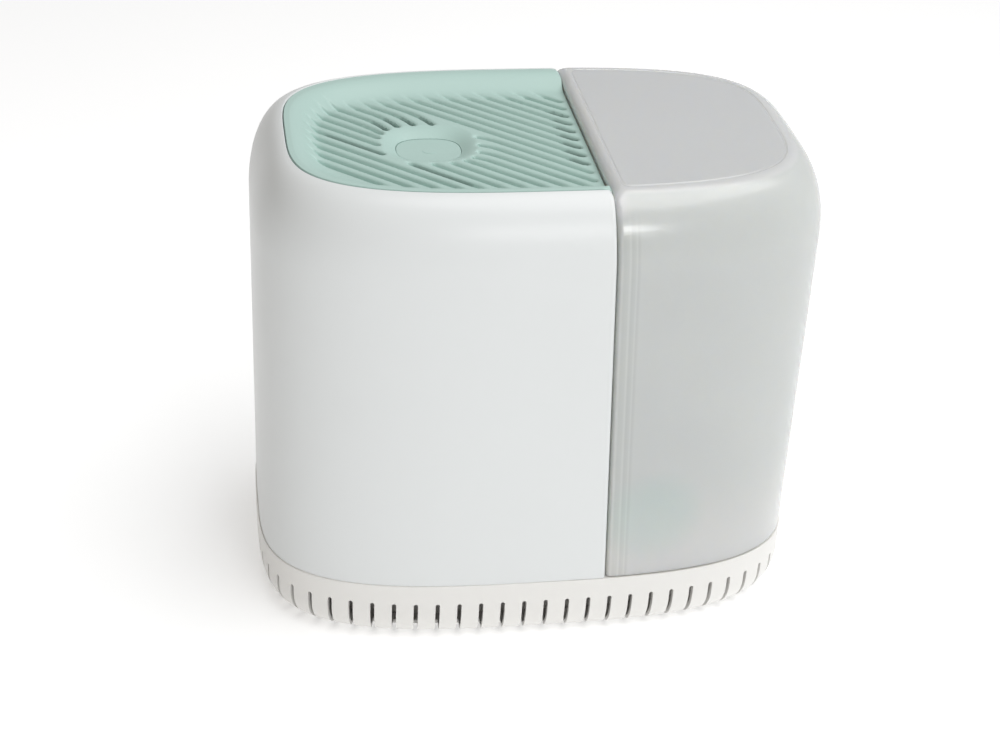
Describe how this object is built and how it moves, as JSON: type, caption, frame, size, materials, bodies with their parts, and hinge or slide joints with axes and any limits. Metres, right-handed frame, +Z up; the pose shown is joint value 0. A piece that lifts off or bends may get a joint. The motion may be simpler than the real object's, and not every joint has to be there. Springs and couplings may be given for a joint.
{
  "type": "cool mist humidifier",
  "caption": "Evaporative cool mist humidifier: slotted base tray, lift-off fan housing with slatted lid, wick ring, and a frosted side water tank with a valve cap.",
  "frame": {"origin": "on the table under the middle of the body: the centre of the bounding box's bottom face", "axes": "+X along the long side towards the water tank, -Y is the front, +Z up"},
  "size_m": [0.3044, 0.196, 0.2678],
  "materials": {
    "housing_white": "satin moulded ABS",
    "base_white": "satin moulded ABS",
    "lid_green": "fine satin texture, pale mint green",
    "tank_frosted": "frosted translucent polypropylene",
    "wick_paper": "pleated wick paper",
    "frame_white": "satin",
    "fan_grey": "satin",
    "float_grey": "satin",
    "dark_plastic": "moulded",
    "foot_rubber": "matt",
    "silicone": "translucent silicone",
    "steel": "bright",
    "motor_steel": "drawn can",
    "circuit_board": "solder resist",
    "led_lens": "diffused lens",
    "lead_sheath": "smooth sheath"
  },
  "bodies": {
    "base": {"base_tray": "base_white", "rubber_foot_1": "foot_rubber", "rubber_foot_2": "foot_rubber", "rubber_foot_3": "foot_rubber", "rubber_foot_4": "foot_rubber"},
    "float": {"water_float": "float_grey"},
    "filter": {"filter_bottom_frame": "frame_white", "filter_wick": "wick_paper", "filter_top_frame": "frame_white"},
    "housing": {"housing_shell": "housing_white", "fan_deck": "frame_white", "deck_screw_1": "steel", "deck_screw_2": "steel", "deck_screw_3": "steel", "deck_screw_4": "steel", "fan_motor": "motor_steel", "motor_screw_1": "steel", "motor_screw_2": "steel", "control_bracket": "frame_white", "bracket_screw_1": "steel", "bracket_screw_2": "steel", "control_board": "circuit_board", "board_screw_1": "steel", "board_screw_2": "steel", "tact_switch": "dark_plastic", "status_led": "led_lens", "board_connector": "frame_white", "dc_inlet_jack": "dark_plastic", "power_lead": "lead_sheath", "motor_lead": "lead_sheath"},
    "fan": {"motor_shaft": "steel", "fan_impeller": "fan_grey"},
    "lid": {"lid_grille": "lid_green", "button_retainer": "frame_white", "button_spring": "steel"},
    "button": {"button_cap": "lid_green"},
    "tank": {"tank_shell": "tank_frosted"},
    "tank_cap": {"tank_cap": "lid_green", "cap_gasket": "silicone", "valve_spring": "steel"},
    "valve": {"valve_plunger": "frame_white", "valve_seal": "silicone"}
  },
  "joints": [
    {"name": "tank_lift", "type": "slide", "parent": "base", "child": "tank", "axis": [0, 0, 1], "range_m": [0, 0.26]},
    {"name": "housing_lift", "type": "slide", "parent": "base", "child": "housing", "axis": [-0.0406, 0, 0.9992], "range_m": [0, 0.16]},
    {"name": "filter_lift", "type": "slide", "parent": "base", "child": "filter", "axis": [0, 0, 1], "range_m": [0, 0.08]},
    {"name": "float_rise", "type": "slide", "parent": "base", "child": "float", "axis": [0, 0, 1], "range_m": [0, 0.008]},
    {"name": "lid_lift", "type": "slide", "parent": "housing", "child": "lid", "axis": [0, 0, 1], "range_m": [0, 0.08]},
    {"name": "fan_spin", "type": "hinge", "parent": "housing", "child": "fan", "pos_m": [-0.058, 0, 0.177], "axis": [0, 0, 1], "continuous": true},
    {"name": "power_button_press", "type": "slide", "parent": "lid", "child": "button", "axis": [0, 0, -1], "range_m": [0, 0.0018], "stiffness_N_per_m": 300, "springref_m": -0.002, "deforming": ["button_spring"]},
    {"name": "tank_cap_turn", "type": "hinge", "parent": "tank", "child": "tank_cap", "pos_m": [0.1, 0, 0.027], "axis": [0, 0, 1], "range_deg": [0, 75]},
    {"name": "valve_close", "type": "slide", "parent": "tank_cap", "child": "valve", "axis": [0, 0, -1], "range_m": [0, 0.0026], "deforming": ["valve_spring"]}
  ],
  "couplings": [
    {"joint": "filter_lift", "follows": "housing_lift", "ratio": 0.5},
    {"joint": "valve_close", "follows": "tank_lift", "ratio": 0.01}
  ]
}
